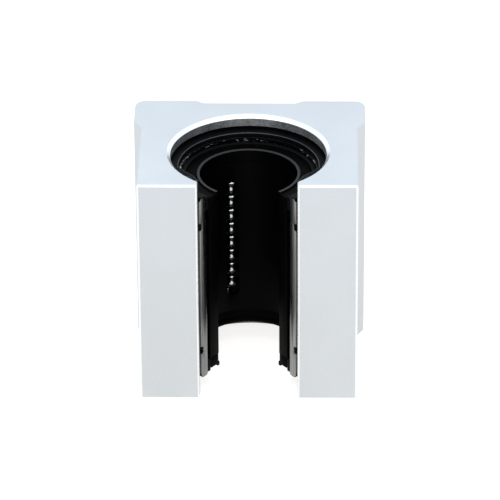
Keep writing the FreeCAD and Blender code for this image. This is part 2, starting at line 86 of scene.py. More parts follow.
Point = tuple[float, float, float]
Colour = tuple[float, float, float]
Corner = tuple[float, float]


# Modelling steps


def deselect_all() -> None:
    """Leave nothing selected in object mode."""
    bpy.ops.object.select_all(action="DESELECT")


def activate(piece: bpy.types.Object) -> None:
    """Make a piece the only selected one, and the active one.

    Args:
        piece: The piece to select.
    """
    deselect_all()
    piece.select_set(True)
    bpy.context.view_layer.objects.active = piece


def edit_all(piece: bpy.types.Object, *steps: Callable[[], object]) -> None:
    """Run edit-mode steps on the whole of a piece.

    Args:
        piece: The piece to edit.
        steps: Calls to run in order, with all of the mesh selected before each.
    """
    activate(piece)
    bpy.ops.object.mode_set(mode="EDIT")
    for step in steps:
        bpy.ops.mesh.select_all(action="SELECT")
        step()
    bpy.ops.object.mode_set(mode="OBJECT")


def close_up(piece: bpy.types.Object) -> None:
    """Merge a piece's double points and turn its faces outwards.

    Args:
        piece: The piece to change.
    """
    edit_all(
        piece,
        lambda: bpy.ops.mesh.remove_doubles(threshold=MERGE),
        lambda: bpy.ops.mesh.normals_make_consistent(inside=False),
    )


def add_face(name: str, corners: Sequence[Point]) -> bpy.types.Object:
    """Lay one flat face through a loop of corners.

    Args:
        name: Name of the new piece.
        corners: The loop's corners, in millimetres.

    Returns:
        The piece, with a single face.
    """
    deselect_all()
    bpy.ops.mesh.primitive_circle_add(vertices=len(corners), fill_type="NGON")
    piece = bpy.context.object
    piece.name = name
    piece.data.name = name
    for vertex, corner in zip(piece.data.vertices, corners):
        vertex.co = Vector(corner) * MM
    return piece


def extrude(piece: bpy.types.Object, move: Point) -> None:
    """Extrude a piece's only face into a closed solid.

    Args:
        piece: A piece with one face.
        move: Which way and how far, in millimetres.
    """
    way = {"value": tuple(Vector(move) * MM)}
    edit_all(
        piece,
        lambda: bpy.ops.mesh.extrude_region_move(TRANSFORM_OT_translate=way),
    )
    close_ends(piece)


def close_ends(piece: bpy.types.Object) -> None:
    """Fill whatever openings a piece has left, then turn its faces outwards.

    Args:
        piece: The piece to close.
    """
    activate(piece)
    bpy.ops.object.mode_set(mode="EDIT")
    bpy.ops.mesh.select_all(action="SELECT")
    bpy.ops.mesh.remove_doubles(threshold=MERGE)
    bpy.ops.mesh.select_all(action="DESELECT")
    bpy.ops.mesh.select_mode(type="EDGE")
    bpy.ops.mesh.select_non_manifold(use_multi_face=False, use_non_contiguous=False)
    bpy.ops.mesh.edge_face_add()
    bpy.ops.mesh.select_mode(type="VERT")
    bpy.ops.object.mode_set(mode="OBJECT")
    close_up(piece)


def spin(
    name: str,
    profile: Sequence[Corner],
    start: float = FIRST_AZIMUTH,
    sweep: float = SWEEP,
    steps: int = 114,
) -> bpy.types.Object:
    """Spin a closed profile about the shaft's axis into a solid.

    Args:
        name: Name of the new piece.
        profile: Radius and height of each corner, in millimetres.
        start: Azimuth of the first section, in radians.
        sweep: Angle that the solid covers, in radians.
        steps: How many steps the sweep takes.

    Returns:
        The closed solid.
    """
    east, north = math.cos(start), math.sin(start)
    piece = add_face(name, [(r * east, r * north, z) for r, z in profile])
    whole = math.isclose(sweep, FULL_TURN)
    if whole:
        open_axis(piece)
    edit_all(
        piece,
        lambda: bpy.ops.mesh.spin(
            steps=steps, angle=-sweep, center=(0, 0, 0), axis=(0, 0, 1), use_auto_merge=whole
        ),
    )
    close_up(piece)
    return piece


def open_axis(piece: bpy.types.Object) -> None:
    """Delete a profile's edge on the axis, and its face, which leaves an open line.

    Args:
        piece: The profile as a single face.
    """
    activate(piece)
    bpy.ops.object.mode_set(mode="EDIT")
    bpy.ops.mesh.select_all(action="DESELECT")
    bpy.ops.object.mode_set(mode="OBJECT")
    for edge in piece.data.edges:
        ends = [piece.data.vertices[index].co for index in edge.vertices]
        edge.select = all(math.hypot(end.x, end.y) < MERGE for end in ends)
    bpy.ops.object.mode_set(mode="EDIT")
    bpy.ops.mesh.select_mode(type="EDGE")
    bpy.ops.mesh.delete(type="EDGE")
    bpy.ops.mesh.select_mode(type="VERT")
    bpy.ops.object.mode_set(mode="OBJECT")


def apply_modifier(piece: bpy.types.Object, kind: str, **settings: object) -> None:
    """Add a modifier to a piece and apply it at once.

    Args:
        piece: The piece to change.
        kind: Blender's name of the modifier.
        settings: Values for the modifier's settings.
    """
    activate(piece)
    bpy.ops.object.modifier_add(type=kind)
    modifier = piece.modifiers[-1]
    for setting, value in settings.items():
        setattr(modifier, setting, value)
    bpy.ops.object.modifier_apply(modifier=modifier.name)


def cut(piece: bpy.types.Object, cutter: bpy.types.Object) -> None:
    """Take a cutter's shape out of a piece and delete the cutter."""
    apply_modifier(piece, "BOOLEAN", object=cutter, operation="DIFFERENCE", solver="EXACT")
    bpy.data.objects.remove(cutter)


def break_edges(
    piece: bpy.types.Object,
    width: float,
    segments: int = 2,
    sharper_than: float = 40.0,
    slot: int = -1,
) -> None:
    """Round a piece's sharp edges.

    Args:
        piece: The piece to change.
        width: Width of the rounding, in millimetres.
        segments: How many faces the rounding has.
        sharper_than: Only edges that turn by more than this angle are rounded, in degrees.
        slot: Material slot of the rounding, or -1 for that of the faces beside it.
    """
    apply_modifier(
        piece,
        "BEVEL",
        width=width * MM,
        segments=segments,
        limit_method="ANGLE",
        angle_limit=math.radians(sharper_than),
        use_clamp_overlap=True,
        harden_normals=False,
        material=slot,
    )


def smooth(piece: bpy.types.Object, angle: float = 28.0) -> None:
    """Shade a piece smooth up to an angle, in degrees."""
    activate(piece)
    bpy.ops.object.shade_smooth_by_angle(angle=math.radians(angle))


def shift(way: Point) -> Matrix:
    """A move by three distances, in millimetres."""
    return Matrix.Translation(Vector(way) * MM)


def raise_by(height: float) -> Matrix:
    """A move upwards, in millimetres."""
    return Matrix.Translation((0, 0, height * MM))


def settle(piece: bpy.types.Object, transform: Matrix | None = None) -> None:
    """Put a piece's place into its mesh, so that its object stays at the origin.

    Args:
        piece: The piece to settle.
        transform: Where to put it first, if it doesn't stay where it is.
    """
    if transform is not None:
        piece.matrix_world = transform
    activate(piece)
    bpy.ops.object.transform_apply(location=True, rotation=True, scale=True)


def join(name: str, pieces: Sequence[bpy.types.Object]) -> bpy.types.Object:
    """Join pieces into one.

    Args:
        name: Name of the joined piece.
        pieces: The pieces, which are used up.

    Returns:
        The joined piece.
    """
    deselect_all()
    for piece in pieces:
        piece.select_set(True)
    bpy.context.view_layer.objects.active = pieces[0]
    bpy.ops.object.join()
    joined = bpy.context.object
    joined.name = name
    joined.data.name = name
    return joined


def hand_over(piece: bpy.types.Object, node: str) -> None:
    """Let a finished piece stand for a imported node.

    Args:
        piece: The finished piece.
        node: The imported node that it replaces.
    """
    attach(piece, ROOT)
    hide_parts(node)
    log.info("%s: %d faces, stands for %s", piece.name, len(piece.data.polygons), node)


def arc(
    centre: Corner, radius: float, start: float, end: float, steps: int
) -> list[Corner]:
    """Points along an arc from one angle to another, in degrees, both ends included."""
    turns = [math.radians(start + (end - start) * step / steps) for step in range(steps + 1)]
    return [(centre[0] + radius * math.cos(t), centre[1] + radius * math.sin(t)) for t in turns]


def polygon(centre: Corner, radius: float, corners: int) -> list[Corner]:
    """Corners of a regular polygon, the first one on its centre's right."""
    return arc(centre, radius, 0.0, 360.0 - 360.0 / corners, corners - 1)


def both_ends(upper: list[Corner]) -> list[Corner]:
    """The upper half of a profile with its mirror image below it."""
    return upper + [(radius, -height) for radius, height in reversed(upper)]


def off_axis(face: bpy.types.MeshPolygon) -> float:
    """How far a face's middle lies from the shaft's axis, in millimetres."""
    return math.hypot(face.center.x, face.center.y) / MM


def add_thread(
    name: str, minor: float, major: float, pitch: float, turns: float, inner: bool
) -> bpy.types.Object:
    """Wind a thread's ridge about the Z axis, upwards from the origin.

    Args:
        name: Name of the new piece.
        minor: Smallest radius, in millimetres.
        major: Largest radius, in millimetres.
        pitch: Height of one turn, in millimetres.
        turns: How many turns it makes.
        inner: True for a ridge that stands inwards from a hole's wall.

    Returns:
        The ridge as a closed solid.
    """
    crest, root = (minor, major) if inner else (major, minor)
    flank = pitch * THREAD_FOOT
    land = pitch * THREAD_CREST
    corners = [(root, 0, -flank), (crest, 0, -land), (crest, 0, land), (root, 0, flank)]
    ridge = add_face(name, corners)
    edit_all(ridge, lambda: bpy.ops.mesh.delete(type="ONLY_FACE"))
    apply_modifier(
        ridge,
        "SCREW",
        axis="Z",
        angle=FULL_TURN * turns,
        screw_offset=pitch * turns * MM,
        steps=int(THREAD_STEPS * turns),
        render_steps=int(THREAD_STEPS * turns),
        use_merge_vertices=False,
        use_smooth_shade=False,
    )
    close_ends(ridge)
    return ridge


# Finishes

UNIT = (0.0, 1.0)
WHITE = (1.0, 1.0, 1.0)

# What part of a noise pattern becomes grain and clouds, and how they share in tone and gloss
GRAIN_RANGE = (0.3, 0.7)
CLOUD_RANGE = (0.35, 0.65)
TONE_SHARES = (0.65, 0.35)
GLOSS_SHARES = (0.4, 0.6)

# Where the painted highlight's colour begins and is full, as the normal's parts along +Z and +Y
HIGHLIGHT_UPWARD = (0.64, 0.7)
HIGHLIGHT_OUTWARD = (-0.96, -0.98)


class Marks(Enum):
    """Which way a finish's marks run, as squeezes of the pattern along X, Y and Z."""

    EVEN = (1.0, 1.0, 1.0)
    AROUND_SHAFT = (0.15, 0.15, 1.0)
    ALONG_SHAFT = (1.0, 1.0, 0.02)


class Graph:
    """Adds and links nodes in one node tree."""

    def __init__(self, tree: bpy.types.NodeTree) -> None:
        """Keep the tree that the nodes go into."""
        self.tree = tree

    def add(self, kind: str, **settings: object) -> bpy.types.Node:
        """Add a node.

        Args:
            kind: Blender's name of the node.
            settings: Values for the node's own settings.

        Returns:
            The node.
        """
        node = self.tree.nodes.new(kind)
        for setting, value in settings.items():
            setattr(node, setting, value)
        return node

    def link(self, source: bpy.types.NodeSocket, *targets: bpy.types.NodeSocket) -> None:
        """Link one output to any number of inputs."""
        for target in targets:
            self.tree.links.new(source, target)

    def noise(
        self, where: bpy.types.NodeSocket, scale: float | bpy.types.NodeSocket, detail: float
    ) -> bpy.types.NodeSocket:
        """Add a noise pattern.

        Args:
            where: The place in the pattern.
            scale: How fine it is, as a number or from an output.
            detail: How many finer layers it has.

        Returns:
            The pattern's value, from 0 to 1.
        """
        node = self.add("ShaderNodeTexNoise", noise_dimensions="3D")
        node.inputs["Detail"].default_value = detail
        if isinstance(scale, bpy.types.NodeSocket):
            self.link(scale, node.inputs["Scale"])
        else:
            node.inputs["Scale"].default_value = scale
        self.link(where, node.inputs["Vector"])
        return node.outputs["Fac"]

    def remap(
        self, value: bpy.types.NodeSocket, source: Corner, target: Corner
    ) -> bpy.types.NodeSocket:
        """Stretch a value from one range to another, and clamp it there.

        Args:
            value: The value to stretch.
            source: The range that it comes from.
            target: The range that it goes to.

        Returns:
            The stretched value.
        """
        node = self.add("ShaderNodeMapRange", clamp=True)
        self.link(value, node.inputs["Value"])
        node.inputs["From Min"].default_value, node.inputs["From Max"].default_value = source
        node.inputs["To Min"].default_value, node.inputs["To Max"].default_value = target
        return node.outputs["Result"]

    def math(
        self,
        operation: str,
        first: bpy.types.NodeSocket,
        second: float | bpy.types.NodeSocket,
    ) -> bpy.types.NodeSocket:
        """Combine two values.

        Args:
            operation: Blender's name of the operation.
            first: The first value.
            second: The second value, as a number or from an output.

        Returns:
            The result.
        """
        node = self.add("ShaderNodeMath", operation=operation)
        self.link(first, node.inputs[0])
        if isinstance(second, bpy.types.NodeSocket):
            self.link(second, node.inputs[1])
        else:
            node.inputs[1].default_value = second
        return node.outputs["Value"]

    def blend_marks(
        self, grain: bpy.types.NodeSocket, clouds: bpy.types.NodeSocket, shares: Corner
    ) -> bpy.types.NodeSocket:
        """Add up grain and clouds.

        Args:
            grain: The fine pattern.
            clouds: The broad pattern.
            shares: How much of each goes in.

        Returns:
            Their sum.
        """
        fine = self.math("MULTIPLY", grain, shares[0])
        broad = self.math("MULTIPLY", clouds, shares[1])
        return self.math("ADD", fine, broad)

    def mix(
        self,
        share: bpy.types.NodeSocket,
        low: Sequence[float] | bpy.types.NodeSocket,
        high: Sequence[float] | bpy.types.NodeSocket,
    ) -> bpy.types.NodeSocket:
        """Blend from one colour to another, each given as numbers or from an output.

        Args:
            share: How much of the second colour there is, from 0 to 1.
            low: The first colour.
            high: The second colour.

        Returns:
            The blended colour.
        """
        node = self.add("ShaderNodeMix", data_type="RGBA")
        self.link(share, node.inputs[0])
        for place, colour in ((6, low), (7, high)):
            if isinstance(colour, bpy.types.NodeSocket):
                self.link(colour, node.inputs[place])
            else:
                node.inputs[place].default_value = (*colour, 1.0)
        return node.outputs[2]


def surface_marks_group() -> bpy.types.NodeTree:
    """Build the group of marks that every finish shares.

    Returns:
        A group with the inputs Vector, Fine Scale and Patch Scale, and the outputs Tone, Gloss and Height.
    """
    name = "surface_marks"
    if name in bpy.data.node_groups:
        return bpy.data.node_groups[name]
    tree = bpy.data.node_groups.new(name, "ShaderNodeTree")
    tree.interface.new_socket("Vector", in_out="INPUT", socket_type="NodeSocketVector")
    tree.interface.new_socket("Fine Scale", in_out="INPUT", socket_type="NodeSocketFloat")
    tree.interface.new_socket("Patch Scale", in_out="INPUT", socket_type="NodeSocketFloat")
    for output in ("Tone", "Gloss", "Height"):
        tree.interface.new_socket(output, in_out="OUTPUT", socket_type="NodeSocketFloat")
    graph = Graph(tree)
    entry = graph.add("NodeGroupInput")
    exit_node = graph.add("NodeGroupOutput")
    place = entry.outputs["Vector"]
    fine = graph.noise(place, entry.outputs["Fine Scale"], 2.0)
    patches = graph.noise(place, entry.outputs["Patch Scale"], 3.0)
    grain = graph.remap(fine, GRAIN_RANGE, UNIT)
    clouds = graph.remap(patches, CLOUD_RANGE, UNIT)
    graph.link(graph.blend_marks(grain, clouds, TONE_SHARES), exit_node.inputs["Tone"])
    graph.link(graph.blend_marks(grain, clouds, GLOSS_SHARES), exit_node.inputs["Gloss"])
    graph.link(grain, exit_node.inputs["Height"])
    return tree


@dataclass(frozen=True)
class Finish:
    """A finish with marks in its colour, gloss and relief.

    Args:
        name: Name of the material.
        dark: Colour in the marks' valleys.
        light: Colour on the marks' crests.
        rough: Least and most roughness.
        metallic: 1 for metal.
        specular: Strength of the reflection of what isn't metal.
        marks: Which way the marks run.
        fine: Marks in a metre.
        patches: Cloudy patches in a metre.
        relief: Depth of the marks, in millimetres.
        sparse: Share of the marks that stay dark.
        painted_highlight: Painted highlight colour on the parts that look up along the shaft or out of the
            slot, where it differs.
    """

    name: str
    dark: Colour
    light: Colour
    rough: Corner
    metallic: float = 0.0
    specular: float = 0.5
    marks: Marks = Marks.EVEN
    fine: float = 4000.0
    patches: float = 120.0
    relief: float = 0.004
    sparse: float = 0.0
    painted_highlight: Colour | None = None

    def build(self) -> bpy.types.Material:
        """Build the material, or find it if an earlier piece has it.

        Returns:
            The material.
        """
        if self.name in bpy.data.materials:
            return bpy.data.materials[self.name]
        material = bpy.data.materials.new(self.name)
        material.use_nodes = True
        graph = Graph(material.node_tree)
        shader = material.node_tree.nodes["Principled BSDF"]
        place = graph.add("ShaderNodeTexCoord")
        stretch = graph.add("ShaderNodeMapping")
        stretch.inputs["Scale"].default_value = self.marks.value
        graph.link(place.outputs["Object"], stretch.inputs["Vector"])
        marks = graph.add("ShaderNodeGroup", node_tree=surface_marks_group())
        marks.inputs["Fine Scale"].default_value = self.fine
        marks.inputs["Patch Scale"].default_value = self.patches
        graph.link(stretch.outputs["Vector"], marks.inputs["Vector"])
        tone = graph.remap(marks.outputs["Tone"], (self.sparse, 1.0), UNIT)
        colour = graph.mix(tone, self.dark, self.light)
        # Painted highlight: a lighter colour where the normal looks up along the shaft or out of the slot
        if self.painted_highlight:
            parts = graph.add("ShaderNodeSeparateXYZ")
            graph.link(place.outputs["Normal"], parts.inputs["Vector"])
            upward = graph.remap(parts.outputs["Z"], HIGHLIGHT_UPWARD, UNIT)
            outward = graph.remap(parts.outputs["Y"], HIGHLIGHT_OUTWARD, UNIT)
            colour = graph.mix(graph.math("MAXIMUM", upward, outward), colour, self.painted_highlight)
        graph.link(colour, shader.inputs["Base Color"])
        rough = graph.remap(marks.outputs["Gloss"], UNIT, self.rough)
        graph.link(rough, shader.inputs["Roughness"])
        bump = graph.add("ShaderNodeBump")
        bump.inputs["Strength"].default_value = 1.0
        bump.inputs["Distance"].default_value = self.relief * MM
        graph.link(marks.outputs["Height"], bump.inputs["Height"])
        graph.link(bump.outputs["Normal"], shader.inputs["Normal"])
        shader.inputs["Metallic"].default_value = self.metallic
        shader.inputs["Specular IOR Level"].default_value = self.specular
        return material


ANODISED = Finish(
    "anodised_aluminium",
    dark=(0.635, 0.66, 0.68),
    light=(0.70, 0.725, 0.745),
    rough=(0.42, 0.52),
    metallic=1.0,
    fine=3000.0,
    patches=90.0,
    relief=0.003,
)
# Bright cut aluminium on the front edges and the bore's upper mouth, its colour raised so that it is also
# a painted highlight on them
BRIGHT_CUT_AND_HIGHLIGHT = Finish(
    "bright_cut_aluminium",
    dark=(0.90, 0.91, 0.92),
    light=(0.98, 0.98, 0.98),
    rough=(0.2, 0.35),
    metallic=1.0,
    fine=4000.0,
    patches=300.0,
    relief=0.002,
)
# Turning marks on the bore's wall, in aluminium painted dark as painted shade inside the bore
SHADED_TURNED = Finish(
    "turned_aluminium",
    dark=(0.18, 0.185, 0.185),
    light=(0.50, 0.51, 0.51),
    rough=(0.45, 0.65),
    metallic=1.0,
    fine=2600.0,
    patches=260.0,
    relief=0.012,
)
GROUND_STEEL = Finish(
    "ground_steel",
    dark=(0.12, 0.12, 0.12),
    light=(0.45, 0.45, 0.44),
    rough=(0.22, 0.38),
    metallic=1.0,
    marks=Marks.ALONG_SHAFT,
    fine=6000.0,
    patches=200.0,
    relief=0.002,
)
# Near-black painted shade for the ring grooves, the bore's lower mouth and the sleeve's ends
SHADE_BLACK = Finish(
    "grease_film",
    dark=(0.001, 0.001, 0.001),
    light=(0.004, 0.004, 0.0045),
    rough=(0.35, 0.5),
    specular=0.06,
    fine=5000.0,
    relief=0.004,
)
# Near black as painted shade, with sparse bright metal spots that catch the lamps as glints
GLINTS = Finish(
    "greased_steel_with_glints",
    dark=(0.001, 0.001, 0.001),
    light=(0.8, 0.8, 0.8),
    rough=(0.3, 0.45),
    metallic=1.0,
    marks=Marks.AROUND_SHAFT,
    fine=7000.0,
    patches=500.0,
    relief=0.004,
    sparse=0.66,
)
# Ball steel painted near black as painted shade, standing in for the dark reflections inside the cage,
# with a painted highlight where a ball looks up along the shaft or out of the slot
PAINTED_BALL_STEEL = Finish(
    "polished_ball_steel",
    dark=(0.015, 0.015, 0.016),
    light=(0.025, 0.026, 0.027),
    rough=(0.1, 0.14),
    metallic=1.0,
    fine=9000.0,
    relief=0.0002,
    painted_highlight=(0.62, 0.63, 0.64),
)
RESIN = Finish(
    "black_cage_resin",
    dark=(0.0004, 0.0004, 0.0004),
    light=(0.0012, 0.0012, 0.0013),
    rough=(0.4, 0.55),
    specular=0.03,
    fine=2500.0,
    relief=0.004,
)
RUBBER = Finish(
    "black_seal_rubber",
    dark=(0.0004, 0.0004, 0.0005),
    light=(0.0012, 0.0012, 0.0012),
    rough=(0.4, 0.55),
    specular=0.03,
    fine=3500.0,
    relief=0.005,
)
# Lighter grey rubber on the seal's end faces that look along the shaft
LIGHTER_RUBBER = Finish(
    "rubber_edge",
    dark=(0.02, 0.02, 0.021),
    light=(0.045, 0.045, 0.046),
    rough=(0.4, 0.55),
    specular=0.2,
    fine=3500.0,
    relief=0.005,
)
BLACK_STEEL = Finish(
    "phosphated_steel",
    dark=(0.002, 0.002, 0.0022),
    light=(0.006, 0.0065, 0.007),
    rough=(0.4, 0.55),
    specular=0.05,
    fine=5000.0,
    relief=0.004,
)
# Lighter steel on the retaining rings' rounded edges
STEEL_EDGE = Finish(
    "bare_steel_edge",
    dark=(0.03, 0.032, 0.034),
    light=(0.11, 0.115, 0.12),
    rough=(0.3, 0.45),
    specular=0.4,
    fine=3000.0,
    relief=0.004,
)


def paint(piece: bpy.types.Object, *finishes: Finish) -> None:
    """Give a new piece its finishes, one material slot for each."""
    for finish in finishes:
        piece.data.materials.append(finish.build())


# Sub-assemblies


class BlockSlot(IntEnum):
    """The housing's material slots, in the order of its finishes."""

    BODY = 0
    # The bore's wall, in turned aluminium painted dark as painted shade
    WALL = 1
    # The front edges and the upper mouth: bright cut aluminium that is also a painted highlight
    BRIGHT = 2
    # Near-black painted shade on the ring grooves and the bore's lower mouth
    GREASED = 3


class ShellSlot(IntEnum):
    """The sleeve's material slots, in the order of its finishes."""

    GROUND = 0
    # Near-black painted shade on the sleeve's ends
    GREASED = 1
    GLINTS = 2


class RingSlot(IntEnum):
    """Material slots of a seal or a retaining ring, in the order of its finishes."""

    BODY = 0
    EDGE = 1


@dataclass
class Housing:
    """The extruded and machined aluminium block."""

    length: float = 50.0
    half_width: float = 24.0
    half_body: float = 22.4
    face: float = 23.0
    feet: float = -15.0
    half_slot: float = 10.1
    slot_root: float = -8.0
    wing_depth: float = 9.6
    wing_slope: float = 2.9
    rounding: float = 2.2
    rounding_steps: int = 8
    half_recess: float = 9.55
    recess_run: float = 1.4
    recess_depth: float = 1.0
    edge: float = 0.42
    bore: float = 16.02
    bore_steps: int = 144
    mouth: float = 0.7
    groove: float = 16.87
    groove_offset: float = 2.4
    groove_width: float = 2.0
    hole_pitch: float = 35.0
    thread_outer: float = 3.0
    thread_inner: float = 2.5
    thread_pitch: float = 1.0
    thread_turns: float = 10.0
    thread_sunk: float = 0.02
    hole_depth: float = 12.0
    hole_lead: float = 0.25
    drill_point: float = 0.6
    screw_hole: float = 2.5
    screw_hole_depth: float = 9.0
    screw_hole_lead: float = 0.3

    def section(self) -> list[Point]:
        """Draw the block's section at its lower end.

        Returns:
            Its corners, anticlockwise.
        """
        right = [
            (self.half_slot, self.slot_root),
            (self.half_slot, self.feet),
            (self.half_body, self.feet),
            (self.half_body, self.face - self.wing_depth - self.wing_slope),
            (self.half_width, self.face - self.wing_depth),
            *arc(
                (self.half_width - self.rounding, self.face - self.rounding),
                self.rounding,
                0.0,
                90.0,
                self.rounding_steps,
            ),
            (self.half_recess + self.recess_run, self.face),
            (self.half_recess, self.face - self.recess_depth),
        ]
        left = [(-x, y) for x, y in reversed(right)]
        return [(x, y, -self.length / 2) for x, y in right + left]

    def bore_cutter(self) -> bpy.types.Object:
        """Build the shape of the bore with its mouths and ring grooves.

        Returns:
            The cutter.
        """
        end = self.length / 2
        groove_top = end - self.groove_offset
        groove_low = groove_top - self.groove_width
        upper = [
            (self.bore, groove_low),
            (self.groove, groove_low),
            (self.groove, groove_top),
            (self.bore, groove_top),
            (self.bore, end - self.mouth),
            (self.bore + self.mouth + OVERCUT, end + OVERCUT),
            (0.0, end + OVERCUT),
        ]
        return spin("bore_cutter", both_ends(upper), math.pi / 2, FULL_TURN, self.bore_steps)

    def tapped_hole(self, radius: float, depth: float, lead: float) -> bpy.types.Object:
        """Build the shape of a drilled hole along Z, its mouth at the origin and its depth below.

        Args:
            radius: Radius of the thread's outside.
            depth: Depth of the full diameter.
            lead: Width of the chamfer at the mouth.

        Returns:
            The cutter.
        """
        point = radius * self.drill_point
        profile = [
            (0.0, -depth - point),
            (radius, -depth),
            (radius, -lead),
            (radius + 2 * lead, lead),
            (0.0, lead),
        ]
        return spin("hole_cutter", profile, 0.0, FULL_TURN, ROUND_STEPS)

    def build(self) -> None:
        """Build the housing and hand it over."""
        block = add_face("housing_block", self.section())
        extrude(block, (0.0, 0.0, self.length))
        paint(block, ANODISED, SHADED_TURNED, BRIGHT_CUT_AND_HIGHLIGHT, SHADE_BLACK)
        break_edges(block, self.edge, segments=3, sharper_than=25.0, slot=BlockSlot.BRIGHT)
        self.tone_rear_edges(block)
        cut(block, self.bore_cutter())
        threads = []
        to_face = Matrix.Rotation(-math.pi / 2, 4, "X")
        for x in (-self.hole_pitch / 2, self.hole_pitch / 2):
            for z in (-self.hole_pitch / 2, self.hole_pitch / 2):
                threads.append(self.tap(block, shift((x, self.face, z)) @ to_face))
        to_side = Matrix.Rotation(math.pi / 2, 4, "Y")
        cutter = self.tapped_hole(self.screw_hole, self.screw_hole_depth, self.screw_hole_lead)
        settle(cutter, shift((self.half_body, 0.0, 0.0)) @ to_side)
        cut(block, cutter)
        self.mark_bore(block)
        housing = join("housing_block", [block, *threads])
        smooth(housing)
        hand_over(housing, "housing")

    def tap(self, block: bpy.types.Object, place: Matrix) -> bpy.types.Object:
        """Cut a mounting hole in the block and wind its thread.

        Args:
            block: The block to cut.
            place: Where the hole's mouth is, its local Z pointing out.

        Returns:
            The thread's ridge, which is joined to the block later.
        """
        cutter = self.tapped_hole(self.thread_outer, self.hole_depth, self.hole_lead)
        settle(cutter, place)
        cut(block, cutter)
        ridge = add_thread(
            "thread",
            self.thread_inner,
            self.thread_outer + self.thread_sunk,
            self.thread_pitch,
            self.thread_turns,
            inner=True,
        )
        settle(ridge, place @ raise_by(-(self.thread_turns + 1.0) * self.thread_pitch))
        return ridge

    def tone_rear_edges(self, block: bpy.types.Object) -> None:
        """Give the edges behind the feet the same finish as the faces beside them.

        Args:
            block: The block with its edges broken, before it is cut.
        """
        for face in block.data.polygons:
            if face.center.y / MM > self.feet + 2 * self.edge:
                face.material_index = BlockSlot.BODY

    def mark_bore(self, block: bpy.types.Object) -> None:
        """Send the bore's wall, its mouths and the ring grooves to slots of their own.

        Args:
            block: The block with its bore cut.
        """
        top = self.length / 2 - self.groove_offset + NEAR
        low = self.length / 2 - self.groove_offset - self.groove_width - NEAR
        # The ring grooves and the bore's lower mouth are painted near black as painted shade; the upper
        # mouth gets the bright finish
        for face in block.data.polygons:
            away = off_axis(face)
            inwards = face.normal.x * face.center.x + face.normal.y * face.center.y < 0
            if low < abs(face.center.z) / MM < top:
                if self.bore - NEAR < away < self.groove + NEAR:
                    face.material_index = BlockSlot.GREASED
            elif away < self.groove + 2 * NEAR and inwards:
                mouth = BlockSlot.BRIGHT if face.normal.z > 0 else BlockSlot.GREASED
                face.material_index = BlockSlot.WALL if abs(face.normal.z) < FLAT else mouth


@dataclass
class Shell:
    """The hardened open sleeve of the bearing."""

    outer: float = 16.0
    inner: float = 13.9
    half_length: float = 21.0
    centre: float = BEARING_CENTRE
    edge: float = 0.5
    inner_edge: float = 0.3
    inner_edge_share: float = 0.9
    soft_edge: float = 0.12
    seat_depth: float = 1.0
    slot_span: float = 30.5
    slot_width: float = 1.6
    slot_depth: float = 0.75

    def build(self) -> None:
        """Build the sleeve and hand it over."""
        slot_top = self.slot_span / 2
        slot_low = slot_top - self.slot_width
        floor = self.outer - self.slot_depth
        upper = [
            (self.outer, slot_low),
            (floor, slot_low),
            (floor, slot_top),
            (self.outer, slot_top),
            (self.outer, self.half_length - self.edge),
            (self.outer - self.edge, self.half_length),
            (self.inner + self.inner_edge, self.half_length),
            (self.inner, self.half_length - self.inner_edge),
            (self.inner, self.half_length - self.seat_depth),
        ]
        profile = [(radius, height + self.centre) for radius, height in both_ends(upper)]
        sleeve = spin("bearing_shell", profile)
        paint(sleeve, GROUND_STEEL, SHADE_BLACK, GLINTS)
        break_edges(sleeve, self.soft_edge)
        rim = self.inner + self.inner_edge_share * self.inner_edge
        # The sleeve's ends are painted near black as painted shade, the inner chamfer with bright metal
        # spots in it
        for face in sleeve.data.polygons:
            if abs(face.center.z / MM - self.centre) > self.half_length - self.seat_depth:
                slot = ShellSlot.GLINTS if off_axis(face) < rim else ShellSlot.GREASED
                face.material_index = slot
        smooth(sleeve)
        hand_over(sleeve, "bearing_sleeve")


